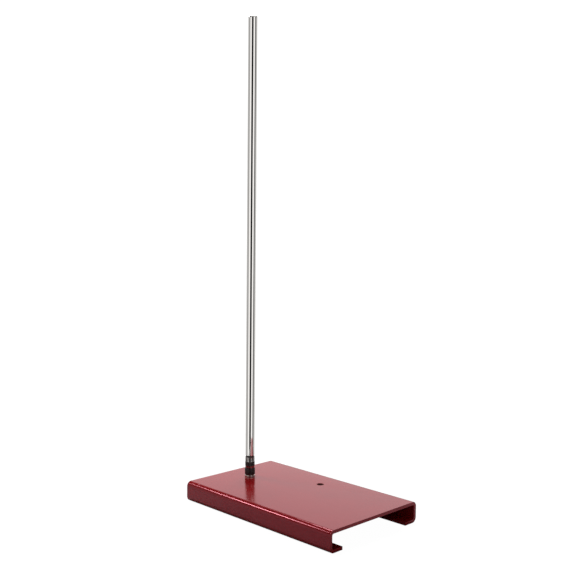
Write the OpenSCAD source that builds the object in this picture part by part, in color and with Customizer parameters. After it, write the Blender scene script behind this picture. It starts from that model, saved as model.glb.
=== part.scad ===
// Retort stand: a folded sheet-steel base with a plated rod that screws into a tapped
// hole near one end. A second tapped hole, at the middle of a long side, takes the rod
// in its other position. Millimetres, +Z up, origin under the middle of the base, on
// the surface it stands on. X runs along the base, with the rod towards -X.

/* [Base] */
// Length of the base, along X
base_l = 203; // [160:1:260]
// Width of the base, along Y, over the two folded sides
base_w = 124.5; // [100:0.5:160]
// Height of the folded base
base_h = 20.8; // [20.8:0.2:30]
// Thickness of the steel sheet
sheet_t = 3.2; // [2:0.1:4]
// Outside radius of the four folds
bend_r = 5.1; // [4.5:0.1:7]
// Width of each inturned lip, from the outside of its folded side
lip_w = 16.8; // [12:0.2:24]
// Distance of each tapped hole from the nearest edge of the base
hole_edge = 29; // [22:1:36]

/* [Rod] */
// Diameter of the rod
rod_d = 10; // [9.8:0.1:10.2]
// Whole length of the rod, with its threaded stud
rod_l = 500; // [300:10:750]
// Diameter at which the M8 thread is drawn, between its root and its crest
thread_d = 7.5; // [7.2:0.1:7.9]
// Clearance of the stud in its nut and in the tapped holes, on the radius
thread_gap = 0.05; // [0.02:0.01:0.1]
// Height of the chamfer at the rod's top
top_chamfer = 0.7; // [0.3:0.1:1.5]

/* [Foot of the rod] */
// Thickness of the ring that the rod's shoulder bears on
foot_ring_t = 1.6; // [0.8:0.2:2]
// Outside diameter of that ring
foot_ring_d = 11.2; // [10.4:0.2:14]
// Height of the bright land under the grip sleeve
low_land = 0.6; // [0.6:0.2:2]
// Height of the black grip sleeve
sleeve_h = 7.2; // [5:0.2:10]
// Outside diameter of the grip sleeve
sleeve_d = 11; // [10.4:0.1:13]
// Diameter of the rod under the grip sleeve
sleeve_seat_d = 8.6; // [8.4:0.1:9]
// Height of the bright land over the grip sleeve
mid_land = 2.4; // [1:0.2:4]
// Height of the knurled band
knurl_h = 4.4; // [3:0.2:8]
// Diameter over the knurls
knurl_d = 10.3; // [10.1:0.1:12.3]
// Height of the bright land over the knurls
high_land = 5; // [2:0.5:8]
// Width of the turned groove that ends the foot
groove_w = 1.6; // [1:0.2:3]
// Diameter at the bottom of that groove
groove_d = 8.8; // [8.4:0.1:9.6]

/* [Lock nut and washers] */
// Width of the hexagonal nut across its flats
nut_af = 13; // [12:0.5:14]
// Height of the nut
nut_h = 6.5; // [5:0.5:7]
// Outside diameter of the plain washer
washer_d = 16; // [14:1:18]
// Thickness of the plain washer
washer_t = 1.6; // [1:0.2:2]
// Outside diameter of the split spring washer
spring_d = 14.8; // [13.5:0.1:16]
// Thickness of the spring washer, flattened
spring_t = 2; // [1.6:0.1:2.2]
// Hole through both washers
washer_bore = 8.4; // [8.3:0.1:9]

/* [Hidden] */

$fn = 96;

// Where the rod and the spare tapped hole stand on the base
rod_x = hole_edge - base_l / 2;
spare_y = base_w / 2 - hole_edge;

// Holes and their countersinks
hole_r = thread_d / 2 + thread_gap;
hole_countersink = 0.4;
stud_r = thread_d / 2;
sleeve_gap = 0.05;

// The rod's stud: it runs from the shoulder down through the ring, the base, the
// washers and the nut, and ends this far past the nut
stud_past_nut = 1.7;
stud_tip_chamfer = 1;
stud_below = sheet_t + washer_t + spring_t + nut_h + stud_past_nut;
rod_top = base_h - stud_below + rod_l;
stud_end = base_h - stud_below;

// Heights of the foot's steps
shoulder = base_h + foot_ring_t;
sleeve_low = shoulder + low_land;
sleeve_high = sleeve_low + sleeve_h;
knurl_low = sleeve_high + mid_land;
knurl_high = knurl_low + knurl_h;
groove_low = knurl_high + high_land;
groove_high = groove_low + groove_w;

// Heights of the parts under the base, each one's top face
washer_top = base_h - sheet_t;
spring_top = washer_top - washer_t;
nut_top = spring_top - spring_t;
nut_chamfer_h = 0.5;
shoulder_chamfer = 0.3;
spring_slit = 1.2;
spring_slit_angle = 25;

// A rectangle with round corners, standing on the line y = 0
module round_rectangle(w, h, r) {
    translate([-w / 2 + r, 0]) square([w - 2 * r, h]);
    translate([-w / 2, r]) square([w, h - 2 * r]);
    for (x = [-1, 1], y = [r, h - r]) translate([x * (w / 2 - r), y]) circle(r = r);
}

// The folded sheet's section: a box with round folds, open between its two lips
module folded_section() {
    difference() {
        round_rectangle(base_w, base_h, bend_r);
        translate([0, sheet_t])
            round_rectangle(base_w - 2 * sheet_t, base_h - 2 * sheet_t, bend_r - sheet_t);
        translate([-base_w / 2 + lip_w, -1]) square([base_w - 2 * lip_w, sheet_t + 2]);
    }
}

// A tapped hole through the top of the base, drawn at the thread's outside diameter
module tapped_hole() {
    c = hole_countersink;
    translate([0, 0, base_h - sheet_t - 1]) cylinder(r = hole_r, h = sheet_t + 2);
    translate([0, 0, base_h - c]) cylinder(r1 = hole_r, r2 = hole_r + 2 * c, h = 2 * c);
}

module base_plate() {
    color([0.55, 0.08, 0.09])
    difference() {
        rotate([90, 0, 90])
            linear_extrude(height = base_l, center = true) folded_section();
        translate([rod_x, 0, 0]) tapped_hole();
        translate([0, spare_y, 0]) tapped_hole();
    }
}

// Half of the rod's outline, from the stud's tip to the chamfered top
module rod_outline() {
    r = rod_d / 2;
    polygon([
        [0, stud_end], [stud_r - stud_tip_chamfer, stud_end], [stud_r, stud_end + stud_tip_chamfer],
        [stud_r, shoulder], [r - shoulder_chamfer, shoulder], [r, shoulder + shoulder_chamfer],
        [r, sleeve_low], [sleeve_seat_d / 2, sleeve_low],
        [sleeve_seat_d / 2, sleeve_high], [r, sleeve_high],
        [r, knurl_low], [knurl_d / 2, knurl_low], [knurl_d / 2, knurl_high], [r, knurl_high],
        [r, groove_low], [groove_d / 2, groove_low], [groove_d / 2, groove_high], [r, groove_high],
        [r, rod_top - top_chamfer], [r - top_chamfer, rod_top], [0, rod_top]
    ]);
}

module rod() {
    color([0.78, 0.77, 0.75])
        translate([rod_x, 0, 0]) rotate_extrude() rod_outline();
}

// A flat ring about the rod's axis, with its top face at z
module ring(outer_d, bore_d, thick, z) {
    translate([rod_x, 0, z - thick])
    difference() {
        cylinder(d = outer_d, h = thick);
        translate([0, 0, -1]) cylinder(d = bore_d, h = thick + 2);
    }
}

module foot_ring() {
    color([0.72, 0.72, 0.72]) ring(foot_ring_d, washer_bore, foot_ring_t, shoulder);
}

module grip_sleeve() {
    color([0.04, 0.04, 0.04])
        ring(sleeve_d, sleeve_seat_d + 2 * sleeve_gap, sleeve_h - 2 * sleeve_gap, sleeve_high - sleeve_gap);
}

module plain_washer() {
    color([0.66, 0.66, 0.66]) ring(washer_d, washer_bore, washer_t, washer_top);
}

module spring_washer() {
    color([0.45, 0.45, 0.46])
    difference() {
        ring(spring_d, washer_bore, spring_t, spring_top);
        translate([rod_x, 0, spring_top - spring_t / 2])
            rotate([0, spring_slit_angle, 0])
                translate([-spring_slit / 2, 0, -spring_d]) cube([spring_slit, spring_d, 2 * spring_d]);
    }
}

// A hexagonal nut with its corners turned to a cone at both faces
module hex_nut() {
    corner_r = nut_af / 2 / cos(30);
    face_r = corner_r - nut_chamfer_h / tan(30);
    color([0.62, 0.62, 0.6])
    translate([rod_x, 0, nut_top - nut_h])
    difference() {
        intersection() {
            cylinder(r = corner_r, h = nut_h, $fn = 6);
            rotate_extrude() polygon([
                [0, 0], [face_r, 0], [corner_r, nut_chamfer_h],
                [corner_r, nut_h - nut_chamfer_h], [face_r, nut_h], [0, nut_h]
            ]);
        }
        translate([0, 0, -1]) cylinder(r = hole_r, h = nut_h + 2);
    }
}

base_plate();
rod();
foot_ring();
grip_sleeve();
plain_washer();
spring_washer();
hex_nut();
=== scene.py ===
"""Retort stand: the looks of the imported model. Metres, +Z up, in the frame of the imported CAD."""

import math

import bmesh
import bpy
from mathutils import Matrix, Vector


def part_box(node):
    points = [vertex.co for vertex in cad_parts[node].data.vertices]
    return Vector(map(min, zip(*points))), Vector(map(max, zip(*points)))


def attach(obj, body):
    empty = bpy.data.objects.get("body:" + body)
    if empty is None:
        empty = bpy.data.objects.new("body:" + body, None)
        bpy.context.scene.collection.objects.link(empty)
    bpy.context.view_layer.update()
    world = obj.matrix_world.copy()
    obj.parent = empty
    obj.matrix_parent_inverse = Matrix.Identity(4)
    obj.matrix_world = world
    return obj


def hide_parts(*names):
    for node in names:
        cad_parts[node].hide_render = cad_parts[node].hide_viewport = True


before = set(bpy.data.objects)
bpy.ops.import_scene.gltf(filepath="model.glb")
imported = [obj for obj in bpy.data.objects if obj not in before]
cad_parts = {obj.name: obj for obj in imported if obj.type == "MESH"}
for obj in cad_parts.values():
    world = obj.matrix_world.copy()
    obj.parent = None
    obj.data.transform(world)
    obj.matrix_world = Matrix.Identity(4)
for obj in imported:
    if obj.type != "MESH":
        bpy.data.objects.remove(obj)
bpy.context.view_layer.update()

MM = 0.001

# ---------------------------------------------------------------- places, from the frame
_, base_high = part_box("base_plate")
rod_low, rod_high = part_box("rod")
ring_low, ring_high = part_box("foot_ring")
sleeve_low, sleeve_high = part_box("grip_sleeve")
_, washer_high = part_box("plain_washer")
spring_low, spring_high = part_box("spring_washer")
nut_low, nut_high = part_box("hex_nut")

AXIS_X = (ring_low.x + ring_high.x) / 2
AXIS_Y = (ring_low.y + ring_high.y) / 2
PLATE_TOP = base_high.z
PLATE_UNDER = washer_high.z
SHEET = PLATE_TOP - PLATE_UNDER
HALF_LENGTH = base_high.x
HALF_WIDTH = base_high.y
HOLE_EDGE = AXIS_X + HALF_LENGTH
SPARE_X = 0.0
SPARE_Y = HALF_WIDTH - HOLE_EDGE

# ---------------------------------------------------------------- sizes the frame doesn't give
BEND_RADIUS = 5.1 * MM
LIP_WIDTH = 16.8 * MM
HOLE_RADIUS = 3.8 * MM
STUD_RADIUS = 3.75 * MM
THREAD_PITCH = 1.25 * MM
THREAD_DEPTH = 0.62 * MM
THREAD_STEP = THREAD_PITCH / 14
WASHER_BORE = 4.2 * MM
SLEEVE_BORE = 4.35 * MM
ROD_RADIUS = 5.0 * MM
STUD_CHAMFER = 1.0 * MM
SHOULDER_CHAMFER = 0.3 * MM
SEAT_RADIUS = 4.3 * MM
SLEEVE_GAP = 0.05 * MM
MID_LAND = 2.4 * MM
KNURL_HEIGHT = 4.4 * MM
KNURL_RADIUS = 5.15 * MM
KNURL_DEPTH = 0.3 * MM
KNURL_PITCH = 1.0 * MM
KNURL_COUNT = 32
HIGH_LAND = 5.0 * MM
GROOVE_WIDTH = 1.6 * MM
GROOVE_RADIUS = 4.4 * MM
TOP_CHAMFER = 0.7 * MM
SHEET_EDGE = 0.45 * MM
NUT_EDGE = 0.2 * MM
RING_EDGE = 0.25 * MM
SLEEVE_EDGE = 0.5 * MM
SLEEVE_BULGE = 0.06 * MM
BEVEL_ANGLE = 40
ARC_STEPS = 16
FILLET_STEPS = 4


# ---------------------------------------------------------------- node helpers
def new_material(name):
    """An empty node material with its Principled shader; returns the material, its tree and the shader."""
    material = bpy.data.materials.new(name)
    material.use_nodes = True
    tree = material.node_tree
    return material, tree, tree.nodes["Principled BSDF"]


def noise(tree, scale, detail=2.0, roughness=0.5, stretch=(1, 1, 1)):
    """Noise in the object's own metres, stretched along an axis where asked."""
    where = tree.nodes.new("ShaderNodeTexCoord")
    turn = tree.nodes.new("ShaderNodeMapping")
    turn.inputs["Scale"].default_value = stretch
    texture = tree.nodes.new("ShaderNodeTexNoise")
    texture.inputs["Scale"].default_value = scale
    texture.inputs["Detail"].default_value = detail
    texture.inputs["Roughness"].default_value = roughness
    tree.links.new(where.outputs["Object"], turn.inputs["Vector"])
    tree.links.new(turn.outputs["Vector"], texture.inputs["Vector"])
    return texture.outputs["Fac"]


def spread(tree, value, low, high, to_low, to_high):
    """Maps a value from one range to another, held at the ends."""
    node = tree.nodes.new("ShaderNodeMapRange")
    node.inputs["From Min"].default_value = low
    node.inputs["From Max"].default_value = high
    node.inputs["To Min"].default_value = to_low
    node.inputs["To Max"].default_value = to_high
    tree.links.new(value, node.inputs["Value"])
    return node.outputs["Result"]


def tint(tree, factor, first, second):
    """A colour between two, by a factor."""
    mix = tree.nodes.new("ShaderNodeMix")
    mix.data_type = "RGBA"
    mix.inputs[6].default_value = (*first, 1)
    mix.inputs[7].default_value = (*second, 1)
    tree.links.new(factor, mix.inputs[0])
    return mix.outputs[2]


def relief(tree, shader, layers):
    """Bump from several heights: each layer is (height output, depth in metres)."""
    normal = None
    for height, depth in layers:
        bump = tree.nodes.new("ShaderNodeBump")
        bump.inputs["Strength"].default_value = 1.0
        bump.inputs["Distance"].default_value = depth
        tree.links.new(height, bump.inputs["Height"])
        if normal:
            tree.links.new(normal, bump.inputs["Normal"])
        normal = bump.outputs["Normal"]
    tree.links.new(normal, shader.inputs["Normal"])


# ---------------------------------------------------------------- materials
def make_enamel():
    """Red stoved enamel: satin gloss, a faint orange peel and a slightly uneven colour."""
    material, tree, shader = new_material("red_enamel")
    drift = noise(tree, 38, 3.0)
    fleck = noise(tree, 1900, 2.0)
    deep = tint(tree, spread(tree, drift, 0.3, 0.7, 0, 1), (0.185, 0.0018, 0.0027), (0.21, 0.0025, 0.0037))
    tree.links.new(deep, shader.inputs["Base Color"])
    tree.links.new(spread(tree, fleck, 0.3, 0.7, 0.13, 0.19), shader.inputs["Roughness"])
    shader.inputs["IOR"].default_value = 2.2
    shader.inputs["Specular Tint"].default_value = (1.0, 0.3, 0.38, 1)
    relief(tree, shader, [(noise(tree, 620, 2.0), 0.000012), (fleck, 0.000005)])
    return material


def make_chrome():
    """Bright plate on ground bar: a faint grain runs round the rod, with a little haze."""
    material, tree, shader = new_material("chrome_plate")
    grain = noise(tree, 30, 3.0, 0.6, (12, 12, 160))
    haze = noise(tree, 90, 3.0)
    tree.links.new(tint(tree, haze, (0.88, 0.855, 0.825), (0.93, 0.91, 0.885)), shader.inputs["Base Color"])
    tree.links.new(spread(tree, haze, 0.3, 0.7, 0.035, 0.075), shader.inputs["Roughness"])
    shader.inputs["Metallic"].default_value = 1.0
    relief(tree, shader, [(grain, 0.0000012)])
    return material


def make_painted_groove_shade():
    """Painted shade for the groove and the knurls: a dark, blotchy metal that draws these hollows darker."""
    material, tree, shader = new_material("groove_knurl_painted_shade")
    patches = noise(tree, 700, 4.0, 0.6)
    dull = spread(tree, patches, 0.3, 0.7, 0, 1)
    tree.links.new(tint(tree, dull, (0.018, 0.016, 0.016), (0.09, 0.08, 0.078)), shader.inputs["Base Color"])
    tree.links.new(spread(tree, patches, 0.3, 0.7, 0.5, 0.3), shader.inputs["Roughness"])
    shader.inputs["Metallic"].default_value = 0.7
    relief(tree, shader, [(patches, 0.00001)])
    return material


def make_dark_dull_plate():
    """The foot's lands: a darker, duller plate than the chrome, blotchy in tone."""
    material, tree, shader = new_material("dark_dull_plate")
    stain = noise(tree, 320, 4.0, 0.6)
    marks = noise(tree, 260, 2.0, 0.5, (1, 1, 9))
    dim_plate = tint(tree, spread(tree, stain, 0.35, 0.65, 0, 1), (0.16, 0.14, 0.135), (0.4, 0.37, 0.355))
    tree.links.new(dim_plate, shader.inputs["Base Color"])
    tree.links.new(spread(tree, stain, 0.3, 0.7, 0.2, 0.11), shader.inputs["Roughness"])
    shader.inputs["Metallic"].default_value = 1.0
    relief(tree, shader, [(marks, 0.000004)])
    return material


def make_zinc(name, dark, light, rough):
    """Plated or hardened steel with a mottled surface and fine turning marks."""
    material, tree, shader = new_material(name)
    mottle = noise(tree, 420, 4.0, 0.6)
    marks = noise(tree, 900, 2.0, 0.5, (1, 1, 6))
    tree.links.new(tint(tree, spread(tree, mottle, 0.3, 0.7, 0, 1), dark, light), shader.inputs["Base Color"])
    tree.links.new(spread(tree, mottle, 0.3, 0.7, rough, rough + 0.14), shader.inputs["Roughness"])
    shader.inputs["Metallic"].default_value = 1.0
    relief(tree, shader, [(marks, 0.000006)])
    return material


def make_rubber():
    """Black rubber with a fine moulded grain."""
    material, tree, shader = new_material("black_rubber")
    grain = noise(tree, 2600, 3.0)
    wipe = noise(tree, 260, 2.0)
    tree.links.new(
        tint(tree, spread(tree, wipe, 0.3, 0.7, 0, 1), (0.006, 0.0055, 0.0055), (0.014, 0.013, 0.013)),
        shader.inputs["Base Color"],
    )
    tree.links.new(spread(tree, wipe, 0.3, 0.7, 0.42, 0.56), shader.inputs["Roughness"])
    relief(tree, shader, [(grain, 0.000012)])
    return material


# ---------------------------------------------------------------- mesh helpers
def to_object(name, mesh_data, materials):
    """Links a bmesh as a smooth object with its materials."""
    bmesh.ops.recalc_face_normals(mesh_data, faces=mesh_data.faces)
    mesh = bpy.data.meshes.new(name)
    mesh_data.to_mesh(mesh)
    mesh_data.free()
    for material in materials:
        mesh.materials.append(material)
    piece = bpy.data.objects.new(name, mesh)
    bpy.context.scene.collection.objects.link(piece)
    mesh.shade_smooth()
    return piece


def sharpen(piece, degrees):
    """Marks the edges over an angle as sharp, so that flat faces stay flat."""
    piece.data.set_sharp_from_angle(angle=math.radians(degrees))


def bevelled(piece, width, segments):
    """Rounds the edges over the bevel angle."""
    bevel = piece.modifiers.new("edges", "BEVEL")
    bevel.width = width
    bevel.segments = segments
    bevel.limit_method = "ANGLE"
    bevel.angle_limit = math.radians(BEVEL_ANGLE)
    bevel.harden_normals = True
    bevel.miter_outer = "MITER_ARC"


def baked(piece):
    """Applies a piece's modifiers to its mesh."""
    graph = bpy.context.evaluated_depsgraph_get()
    solved = piece.evaluated_get(graph)
    mesh = bpy.data.meshes.new_from_object(solved, preserve_all_data_layers=True, depsgraph=graph)
    piece.modifiers.clear()
    old = piece.data
    piece.data = mesh
    bpy.data.meshes.remove(old)


def fillet(points):
    """Rounds an outline's corners. Each point is (radius from the axis, height, fillet radius)."""
    result = []
    for i, (r, z, size) in enumerate(points):
        if size <= 0:
            result.append((r, z))
            continue
        corner = Vector((r, z))
        back = Vector(points[i - 1][:2]) - corner
        ahead = Vector(points[(i + 1) % len(points)][:2]) - corner
        half = back.angle(ahead) / 2
        reach = size / math.tan(half)
        start = corner + back.normalized() * reach
        end = corner + ahead.normalized() * reach
        centre = corner + (back.normalized() + ahead.normalized()).normalized() * (size / math.sin(half))
        first = start - centre
        turn = first.angle_signed(end - centre)
        for step in range(FILLET_STEPS + 1):
            arm = first.copy()
            arm.rotate(Matrix.Rotation(-turn * step / FILLET_STEPS, 2))
            result.append((centre.x + arm.x, centre.y + arm.y))
    return result


def turned(name, outline, materials, sides, shape=None, finish=None, closed=True):
    """Turns an outline of (radius, height) about the rod's axis.

    A closed outline makes a ring. An open one starts and ends on the axis and makes a solid.
    shape(angle, radius, height) gives the radius at a point, for knurls and threads, and
    finish(height) gives the material's index.
    """
    mesh = bmesh.new()
    rings = []
    for r, z in outline:
        if r <= 0:
            rings.append([mesh.verts.new((AXIS_X, AXIS_Y, z))])
            continue
        ring = []
        for k in range(sides):
            angle = 2 * math.pi * k / sides
            far = shape(angle, r, z) if shape else r
            ring.append(mesh.verts.new((AXIS_X + far * math.cos(angle), AXIS_Y + far * math.sin(angle), z)))
        rings.append(ring)
    pairs = list(zip(rings, rings[1:]))
    if closed:
        pairs.append((rings[-1], rings[0]))
    for low, high in pairs:
        for k in range(sides):
            n = (k + 1) % sides
            if len(low) == 1:
                face = mesh.faces.new((low[0], high[k], high[n]))
            elif len(high) == 1:
                face = mesh.faces.new((low[k], low[n], high[0]))
            else:
                face = mesh.faces.new((low[k], low[n], high[n], high[k]))
            if finish:
                face.material_index = finish(face.calc_center_median().z)
    return to_object(name, mesh, materials)


def heights(low, high, step):
    """Even heights from low to high, no further apart than step."""
    count = max(1, math.ceil((high - low) / step))
    return [low + (high - low) * i / count for i in range(count + 1)]


def wave(turns):
    """A triangle wave: 0 at whole turns, 1 half way between."""
    part = turns % 1.0
    return 1 - abs(2 * part - 1)


def thread_form(angle, z):
    """The right-hand thread's depth share at a point: 0 on its crest, 1 at its root, with flats on both."""
    return min(1.0, max(0.0, 1.25 * wave(z / THREAD_PITCH - angle / (2 * math.pi)) - 0.125))


def ease(value, low, high):
    """0 below low, 1 above high, smooth between."""
    share = min(1.0, max(0.0, (value - low) / (high - low)))
    return share * share * (3 - 2 * share)


# ---------------------------------------------------------------- pieces
def folded_path():
    """Pairs of outer and inner points (y, z) along the folded sheet, from the front lip to the rear lip."""
    inner_radius = BEND_RADIUS - SHEET
    pairs = []

    def arc(centre_y, centre_z, start, end):
        for i in range(ARC_STEPS + 1):
            angle = math.radians(start + (end - start) * i / ARC_STEPS)
            c, s = math.cos(angle), math.sin(angle)
            pairs.append(
                (
                    (centre_y + BEND_RADIUS * c, centre_z + BEND_RADIUS * s),
                    (centre_y + inner_radius * c, centre_z + inner_radius * s),
                )
            )

    side = HALF_WIDTH - BEND_RADIUS
    top = PLATE_TOP - BEND_RADIUS
    lip = HALF_WIDTH - LIP_WIDTH
    pairs.append(((-lip, 0), (-lip, SHEET)))
    arc(-side, BEND_RADIUS, 270, 180)
    arc(-side, top, 180, 90)
    arc(side, top, 90, 0)
    arc(side, BEND_RADIUS, 0, -90)
    pairs.append(((lip, 0), (lip, SHEET)))
    return pairs


def cutter(x, y):
    """A plain cylinder that drills one tapped hole."""
    mesh = bmesh.new()
    bmesh.ops.create_cone(
        mesh, cap_ends=True, segments=96, radius1=HOLE_RADIUS, radius2=HOLE_RADIUS, depth=4 * SHEET
    )
    bmesh.ops.translate(mesh, verts=mesh.verts, vec=(x, y, PLATE_TOP - SHEET / 2))
    return to_object("cutter", mesh, [])


def make_base(enamel):
    """The folded sheet as one closed shell, drilled, with the soft edges that enamel leaves."""
    mesh = bmesh.new()
    path = folded_path()
    rows = []
    for x in (-HALF_LENGTH, HALF_LENGTH):
        rows.append([(mesh.verts.new((x, *outer)), mesh.verts.new((x, *inner))) for outer, inner in path])
    near, far = rows
    for i in range(len(near) - 1):
        for k in (0, 1):
            mesh.faces.new((near[i][k], near[i + 1][k], far[i + 1][k], far[i][k]))
        for row in rows:
            mesh.faces.new((row[i][0], row[i + 1][0], row[i + 1][1], row[i][1]))
    for i in (0, -1):
        mesh.faces.new((near[i][0], near[i][1], far[i][1], far[i][0]))
    piece = to_object("base_shell", mesh, [enamel])
    tools = [cutter(AXIS_X, AXIS_Y), cutter(SPARE_X, SPARE_Y)]
    for tool in tools:
        cut = piece.modifiers.new("drill", "BOOLEAN")
        cut.operation = "DIFFERENCE"
        cut.solver = "EXACT"
        cut.object = tool
    baked(piece)
    for tool in tools:
        bpy.data.objects.remove(tool)
    piece.data.shade_smooth()
    bevelled(piece, SHEET_EDGE, 4)
    baked(piece)
    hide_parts("base_plate")
    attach(piece, "base")


def make_hole_thread(name, x, y, steel):
    """The thread's ridges inside a tapped hole, as a ring let into the wall of the hole."""
    low = PLATE_UNDER + 0.25 * MM
    high = PLATE_TOP - 0.3 * MM
    wall = HOLE_RADIUS + 0.3 * MM
    run_out = 0.3 * MM
    depth = THREAD_DEPTH * 0.85
    levels = heights(low, high, THREAD_STEP)
    outline = [(HOLE_RADIUS, z) for z in levels] + [(wall, high), (wall, low)]

    def shape(angle, r, z):
        if r > HOLE_RADIUS:
            return r
        fade = ease(z, low, low + run_out) * (1 - ease(z, high - run_out, high))
        return HOLE_RADIUS - depth * thread_form(angle, z) * fade

    piece = turned(name, outline, [steel], 96, shape)
    piece.data.transform(Matrix.Translation((x - AXIS_X, y - AXIS_Y, 0)))
    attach(piece, "base")


def make_rod(chrome, shade_paint, dull_lands):
    """The rod from its threaded stud to its chamfered top, with its foot's groove, knurls and sleeve seat."""
    shoulder = ring_high.z
    seat_low = sleeve_low.z - SLEEVE_GAP
    seat_high = sleeve_high.z + SLEEVE_GAP
    knurl_low = seat_high + MID_LAND
    knurl_high = knurl_low + KNURL_HEIGHT
    groove_low = knurl_high + HIGH_LAND
    groove_high = groove_low + GROOVE_WIDTH
    tip = rod_low.z
    top = rod_high.z
    soft = 0.15 * MM
    knurl_edge = 0.05 * MM
    run_out = 0.3 * MM
    outline = [(0, tip), (STUD_RADIUS - STUD_CHAMFER, tip)]
    outline += [(STUD_RADIUS, z) for z in heights(tip + STUD_CHAMFER, shoulder, THREAD_STEP)]
    outline += [(ROD_RADIUS - SHOULDER_CHAMFER, shoulder), (ROD_RADIUS, shoulder + SHOULDER_CHAMFER)]
    outline += [(ROD_RADIUS, seat_low - soft), (ROD_RADIUS - soft, seat_low), (SEAT_RADIUS, seat_low)]
    outline += [(SEAT_RADIUS, seat_high), (ROD_RADIUS - soft, seat_high), (ROD_RADIUS, seat_high + soft)]
    outline += [(ROD_RADIUS, knurl_low - knurl_edge)]
    outline += [(KNURL_RADIUS, z) for z in heights(knurl_low, knurl_high, 0.1 * MM)]
    outline += [(ROD_RADIUS, knurl_high + knurl_edge), (ROD_RADIUS, groove_low - soft)]
    outline += [(ROD_RADIUS - soft, groove_low), (GROOVE_RADIUS + soft, groove_low)]
    outline += [(GROOVE_RADIUS, groove_low + soft), (GROOVE_RADIUS, groove_high - soft)]
    outline += [(GROOVE_RADIUS + soft, groove_high), (ROD_RADIUS - soft, groove_high)]
    outline += [(ROD_RADIUS, groove_high + soft)]
    outline += [(ROD_RADIUS, z) for z in heights(groove_high + 2 * MM, top - 2 * MM, 20 * MM)]
    outline += [(ROD_RADIUS, top - TOP_CHAMFER - soft), (ROD_RADIUS - soft, top - TOP_CHAMFER + soft)]
    outline += [(ROD_RADIUS - TOP_CHAMFER, top - soft / 2), (ROD_RADIUS - TOP_CHAMFER - soft, top), (0, top)]

    def shape(angle, r, z):
        if r == STUD_RADIUS:
            start = ease(z, tip + 0.6 * MM, tip + 1.6 * MM)
            end = ease(z, shoulder - 1.2 * MM, shoulder - 0.4 * MM)
            fade = start * (1 - end)
            return r - THREAD_DEPTH * thread_form(angle, z) * fade
        if r == KNURL_RADIUS:
            climb = z / KNURL_PITCH
            around = KNURL_COUNT * angle / (2 * math.pi)
            fade = ease(z, knurl_low, knurl_low + run_out) * (1 - ease(z, knurl_high - run_out, knurl_high))
            crest = min(wave(around + climb), wave(around - climb))
            return r - KNURL_DEPTH * (1 - crest) * fade - 0.12 * MM * (1 - fade)
        return r

    def finish(z):
        # index 1, on the groove and the knurls, is the painted shade material
        if groove_low <= z <= groove_high or knurl_low <= z <= knurl_high:
            return 1
        # index 2, on the stud, the seat and the lands, is the darker, duller plate
        return 2 if z < shoulder or seat_low < z < groove_low else 0

    piece = turned("rod_bar", outline, [chrome, shade_paint, dull_lands], 192, shape, finish, closed=False)
    sharpen(piece, 40)
    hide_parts("rod")
    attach(piece, "rod")


def make_ring(name, node, body, material, inner, edge, bulge=0.0):
    """A turned ring in a CAD ring's place, with rounded edges and, for rubber, a slightly full side."""
    low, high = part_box(node)
    outer = (high.x - low.x) / 2
    corners = [
        (inner, low.z, edge * 0.5),
        (outer - bulge, low.z, edge),
        (outer, (low.z + high.z) / 2, 0),
        (outer - bulge, high.z, edge),
        (inner, high.z, edge * 0.5),
    ]
    piece = turned(name, fillet(corners), [material], 128)
    sharpen(piece, 50)
    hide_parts(node)
    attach(piece, body)


def make_spring_washer(steel):
    """The split washer, drawn flat, with a slanted slit."""
    inner = WASHER_BORE
    outer = (spring_high.x - spring_low.x) / 2
    edge = 0.15 * MM
    slit = math.radians(9)
    slope = math.radians(9) / (spring_high.z - spring_low.z)
    middle = (spring_low.z + spring_high.z) / 2
    section = fillet(
        [
            (inner, spring_low.z, edge),
            (outer, spring_low.z, edge),
            (outer, spring_high.z, edge),
            (inner, spring_high.z, edge),
        ]
    )
    mesh = bmesh.new()
    count = 120
    loops = []
    for k in range(count + 1):
        share = k / count
        loop = []
        for r, z in section:
            angle = math.radians(90) + slit / 2 + (2 * math.pi - slit) * share + slope * (z - middle)
            loop.append(mesh.verts.new((AXIS_X + r * math.cos(angle), AXIS_Y + r * math.sin(angle), z)))
        loops.append(loop)
    size = len(section)
    for a, b in zip(loops, loops[1:]):
        for i in range(size):
            n = (i + 1) % size
            mesh.faces.new((a[i], a[n], b[n], b[i]))
    mesh.faces.new(loops[0])
    mesh.faces.new(loops[-1])
    piece = to_object("split_washer", mesh, [steel])
    sharpen(piece, 50)
    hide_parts("spring_washer")
    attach(piece, "washers")


def make_nut(zinc):
    """A hexagonal nut: coned corners at both faces and a countersunk bore."""
    flat = (nut_high.y - nut_low.y) / 2
    face = flat * 0.965
    cone = math.tan(math.radians(30))
    low, high = nut_low.z, nut_high.z
    sink = 0.5 * MM
    bore = HOLE_RADIUS
    sides = 144
    mesh = bmesh.new()
    columns = []
    for k in range(sides):
        angle = 2 * math.pi * k / sides
        off = (angle % math.radians(60)) - math.radians(30)
        wall = flat / math.cos(off)
        drop = max(0.02 * MM, (wall - face) * cone)
        points = [
            (bore, low + sink),
            (bore + sink, low),
            (face, low),
            (wall, low + drop),
            (wall, high - drop),
            (face, high),
            (bore + sink, high),
            (bore, high - sink),
        ]
        c, s = math.cos(angle), math.sin(angle)
        columns.append([mesh.verts.new((AXIS_X + r * c, AXIS_Y + r * s, z)) for r, z in points])
    for k in range(sides):
        a, b = columns[k], columns[(k + 1) % sides]
        for i in range(len(a)):
            n = (i + 1) % len(a)
            mesh.faces.new((a[i], a[n], b[n], b[i]))
    piece = to_object("lock_nut", mesh, [zinc])
    bevelled(piece, NUT_EDGE, 3)
    baked(piece)
    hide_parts("hex_nut")
    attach(piece, "nut")


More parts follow.
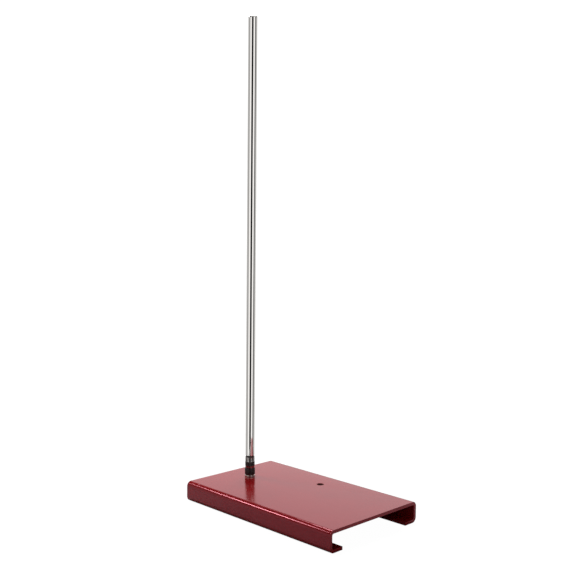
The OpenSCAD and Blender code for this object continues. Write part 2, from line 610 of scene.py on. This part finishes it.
# ---------------------------------------------------------------- studio
CAMERA_AZIMUTH = math.radians(45.407)
CAMERA_ELEVATION = math.radians(3.623)
CAMERA_ROLL = math.radians(0.544)
CAMERA_DISTANCE = 0.8516
CAMERA_LENS = 52.44
AIM_RIGHT = -0.01185
AIM_UP = 0.22626

# Bearings are in degrees about the stand: 0 towards the camera's side, positive to its right. Heights are
# the sine of an elevation. A pair is where a change starts and where it ends.

# stretches of the studio's wall that are darker: low and high bearing, softness, and how much darker
DIM_PANELS = [
    (-22, 20, 4, 0.995),
    (57, 86, 5, 0.9),
    (86, 125, 8, 0.52),
    (-112, -60, 10, 0.62),
    (-150, -112, 10, 0.3),
]
FLOOR_RADIUS = 0.17
FLOOR_GREY = 0.28
# how much of the floor's light is its own glow, as the camera sees it, and where the glow starts, as shares
# of the base's half length and half width
FLOOR_GLOW = 0.88
GLOW_ALONG = (0.35, 0.55)
GLOW_ACROSS = (0.65, 0.75)
SEEN_WHITE = 1.12
WALL_TOP = (0.26, 0.36)
# one stretch of the wall, on the camera's side and to its right, is taller
TALL_WALL_FROM = (24, 32)
TALL_WALL_TO = (56, 64)
TALL_WALL_RISE = 0.12
BACKDROP_FROM = (90, 125)
BACKDROP_TOP = (0.42, 0.58)
# a dark gap low down, straight behind the stand
GAP_FROM = (160, 168)
GAP_TOP = (0.02, 0.14)
GAP_DEPTH = 0.97
# a lit banner high up on the camera's side
BANNER_FROM = (-70, -50)
BANNER_TO = (60, 80)
BANNER_LOW = (0.4, 0.46)
BANNER_TOP = (0.68, 0.8)
BANNER_LIGHT = 0.65
CEILING = 0.06
SOFTBOX_AIM = Vector((0, 0, 0.1))


def make_camera():
    """The camera looks along its own right and up axes, from a distance, with a slight roll."""
    sin_a, cos_a = math.sin(CAMERA_AZIMUTH), math.cos(CAMERA_AZIMUTH)
    level = math.cos(CAMERA_ELEVATION)
    back = Vector((sin_a * level, -cos_a * level, math.sin(CAMERA_ELEVATION)))
    right = Vector((cos_a, sin_a, 0))
    up = back.cross(right)
    data = bpy.data.cameras.new("camera")
    data.lens = CAMERA_LENS
    data.sensor_width = 36.0
    data.clip_start = 0.01
    data.clip_end = 100
    camera = bpy.data.objects.new("camera", data)
    bpy.context.scene.collection.objects.link(camera)
    camera.location = right * AIM_RIGHT + up * AIM_UP + back * CAMERA_DISTANCE
    turned_right = right * math.cos(CAMERA_ROLL) + up * math.sin(CAMERA_ROLL)
    turned_up = up * math.cos(CAMERA_ROLL) - right * math.sin(CAMERA_ROLL)
    camera.rotation_mode = "QUATERNION"
    camera.rotation_quaternion = Matrix((turned_right, turned_up, back)).transposed().to_quaternion()
    bpy.context.scene.camera = camera


class Sum:
    """Small arithmetic on node outputs and numbers, for the studio's walls and floor."""

    def __init__(self, tree):
        self.tree = tree

    def do(self, operation, *values):
        node = self.tree.nodes.new("ShaderNodeMath")
        node.operation = operation
        for socket, value in zip(node.inputs, values):
            if isinstance(value, (int, float)):
                socket.default_value = value
            else:
                self.tree.links.new(value, socket)
        return node.outputs[0]

    def times(self, first, *others):
        """The product of its values."""
        for value in others:
            first = self.do("MULTIPLY", first, value)
        return first

    def less(self, value):
        """What is left of 1."""
        return self.do("SUBTRACT", 1.0, value)

    def step(self, value, low, high):
        """0 below low, 1 above high, smooth between."""
        node = self.tree.nodes.new("ShaderNodeMapRange")
        node.interpolation_type = "SMOOTHSTEP"
        node.inputs["From Min"].default_value = low
        node.inputs["From Max"].default_value = high
        self.tree.links.new(value, node.inputs["Value"])
        return node.outputs["Result"]

    def band(self, value, rise, fall):
        """1 between the two changes and 0 outside them."""
        return self.times(self.step(value, *rise), self.less(self.step(value, *fall)))

    def bearing(self, x, y):
        """The bearing of a direction in degrees."""
        facing = math.atan2(-math.cos(CAMERA_AZIMUTH), math.sin(CAMERA_AZIMUTH))
        turn = self.do("SUBTRACT", self.do("ARCTAN2", y, x), facing)
        return self.times(self.do("WRAP", turn, math.pi, -math.pi), 180 / math.pi)

    def panels(self, side):
        """The brightness round the studio: white, less the darker stretches."""
        light = 1.0
        for low, high, soft, amount in DIM_PANELS:
            dim = self.band(side, (low - soft, low + soft), (high - soft, high + soft))
            light = self.times(light, self.less(self.times(dim, amount)))
        return light


def mixed(tree, factor, first, second, out):
    """Sends a mix of two shaders to an output."""
    mix = tree.nodes.new("ShaderNodeMixShader")
    tree.links.new(factor, mix.inputs[0])
    tree.links.new(first, mix.inputs[1])
    tree.links.new(second, mix.inputs[2])
    tree.links.new(mix.outputs[0], out)


def make_floor():
    """A plain grey table top, which glows white as the camera sees it, so that shadows on it are faint.

    It doesn't glow under the middle of the base, where the glow would show through the spare hole.
    """
    mesh = bmesh.new()
    bmesh.ops.create_circle(mesh, cap_ends=True, segments=128, radius=FLOOR_RADIUS)
    material = bpy.data.materials.new("white_floor")
    material.use_nodes = True
    tree = material.node_tree
    tree.nodes.clear()
    out = tree.nodes.new("ShaderNodeOutputMaterial")
    paper = tree.nodes.new("ShaderNodeBsdfDiffuse")
    paper.inputs["Color"].default_value = (FLOOR_GREY, FLOOR_GREY, FLOOR_GREY, 1)
    glow = tree.nodes.new("ShaderNodeEmission")
    glow.inputs["Strength"].default_value = SEEN_WHITE
    seen = tree.nodes.new("ShaderNodeLightPath")
    where = tree.nodes.new("ShaderNodeTexCoord")
    parts = tree.nodes.new("ShaderNodeSeparateXYZ")
    tree.links.new(where.outputs["Object"], parts.inputs[0])
    maths = Sum(tree)
    from_middle = [maths.do("ABSOLUTE", parts.outputs[axis]) for axis in ("X", "Y")]
    along = maths.step(from_middle[0], *(HALF_LENGTH * share for share in GLOW_ALONG))
    across = maths.step(from_middle[1], *(HALF_WIDTH * share for share in GLOW_ACROSS))
    share = maths.times(seen.outputs["Is Camera Ray"], FLOOR_GLOW, maths.do("MAXIMUM", along, across))
    mixed(tree, share, paper.outputs[0], glow.outputs[0], out.inputs["Surface"])
    floor = to_object("floor", mesh, [material])
    floor.location.z = -0.1 * MM


def make_studio():
    """What the object mirrors: panels, a higher backdrop behind it, a banner and a dim ceiling.

    The camera itself sees plain white instead.
    """
    world = bpy.data.worlds.new("studio")
    bpy.context.scene.world = world
    world.use_nodes = True
    tree = world.node_tree
    tree.nodes.clear()
    out = tree.nodes.new("ShaderNodeOutputWorld")
    where = tree.nodes.new("ShaderNodeTexCoord")
    parts = tree.nodes.new("ShaderNodeSeparateXYZ")
    tree.links.new(where.outputs["Generated"], parts.inputs[0])
    maths = Sum(tree)
    side = maths.bearing(parts.outputs["X"], parts.outputs["Y"])
    height = parts.outputs["Z"]
    away = maths.do("ABSOLUTE", side)
    tall_wall = maths.band(side, TALL_WALL_FROM, TALL_WALL_TO)
    past_rise = maths.do("SUBTRACT", height, maths.times(tall_wall, TALL_WALL_RISE))
    walls = maths.less(maths.step(past_rise, *WALL_TOP))
    backdrop = maths.times(maths.step(away, *BACKDROP_FROM), maths.less(maths.step(height, *BACKDROP_TOP)))
    light = maths.times(maths.do("MAXIMUM", walls, backdrop), maths.panels(side))
    banner = maths.times(
        maths.band(side, BANNER_FROM, BANNER_TO), maths.band(height, BANNER_LOW, BANNER_TOP), BANNER_LIGHT
    )
    light = maths.do("MAXIMUM", light, banner)
    light = maths.do("MAXIMUM", light, maths.times(maths.step(height, *WALL_TOP), CEILING))
    gap = maths.times(maths.step(away, *GAP_FROM), maths.less(maths.step(height, *GAP_TOP)), GAP_DEPTH)
    light = maths.times(light, maths.less(gap))
    room = tree.nodes.new("ShaderNodeBackground")
    tree.links.new(light, room.inputs["Strength"])
    plain = tree.nodes.new("ShaderNodeBackground")
    plain.inputs["Strength"].default_value = SEEN_WHITE
    for background in (room, plain):
        background.inputs["Color"].default_value = (1, 1, 1, 1)
    seen = tree.nodes.new("ShaderNodeLightPath")
    mixed(tree, seen.outputs["Is Camera Ray"], room.outputs[0], plain.outputs[0], out.inputs["Surface"])


def add_softbox(name, azimuth, elevation, distance, size, power, mirrored=True):
    """A softbox aimed at the stand, from an azimuth and elevation in degrees, mirrored in it or not."""
    data = bpy.data.lights.new(name, "AREA")
    data.shape = "RECTANGLE"
    data.size, data.size_y = size
    data.energy = power
    lamp = bpy.data.objects.new(name, data)
    bpy.context.scene.collection.objects.link(lamp)
    a, e = math.radians(azimuth), math.radians(elevation)
    away = Vector((math.sin(a) * math.cos(e), -math.cos(a) * math.cos(e), math.sin(e)))
    lamp.location = SOFTBOX_AIM + away * distance
    lamp.rotation_mode = "QUATERNION"
    lamp.rotation_quaternion = away.to_track_quat("Z", "Y")
    lamp.visible_camera = False
    lamp.visible_glossy = mirrored


# ---------------------------------------------------------------- the scene
make_camera()
make_floor()
make_studio()
add_softbox("key_softbox", -60, 36, 2.4, (0.5, 0.26), 5.5)
add_softbox("side_softbox", -80, 22, 0.42, (0.12, 0.12), 1.0, mirrored=False)
add_softbox("back_softbox", 228, 60, 2.0, (1.0, 1.0), 41)

red = make_enamel()
plate = make_chrome()
# painted shade for the rod's groove and knurls
painted_shade_material = make_painted_groove_shade()
dim_plate = make_dark_dull_plate()
zinc = make_zinc("bright_zinc", (0.42, 0.42, 0.4), (0.62, 0.61, 0.57), 0.24)
hardened = make_zinc("hardened_steel", (0.16, 0.16, 0.165), (0.3, 0.3, 0.3), 0.34)
# the tapped holes' thread: dark reddish steel, its darkness painted shade inside the holes
tapped = make_zinc("shaded_tapped_steel", (0.13, 0.04, 0.036), (0.26, 0.1, 0.09), 0.42)
black = make_rubber()

make_base(red)
make_hole_thread("spare_hole_thread", SPARE_X, SPARE_Y, tapped)
make_hole_thread("rod_hole_thread", AXIS_X, AXIS_Y, tapped)
make_rod(plate, painted_shade_material, dim_plate)
make_ring("shoulder_ring", "foot_ring", "base", zinc, WASHER_BORE, RING_EDGE)
make_ring(
    "rubber_sleeve", "grip_sleeve", "sleeve", black, SLEEVE_BORE, SLEEVE_EDGE, SLEEVE_BULGE
)
make_ring("flat_washer", "plain_washer", "washers", zinc, WASHER_BORE, RING_EDGE)
make_spring_washer(hardened)
make_nut(zinc)

view_settings = bpy.context.scene.view_settings
view_settings.view_transform = "Standard"
view_settings.look = "None"
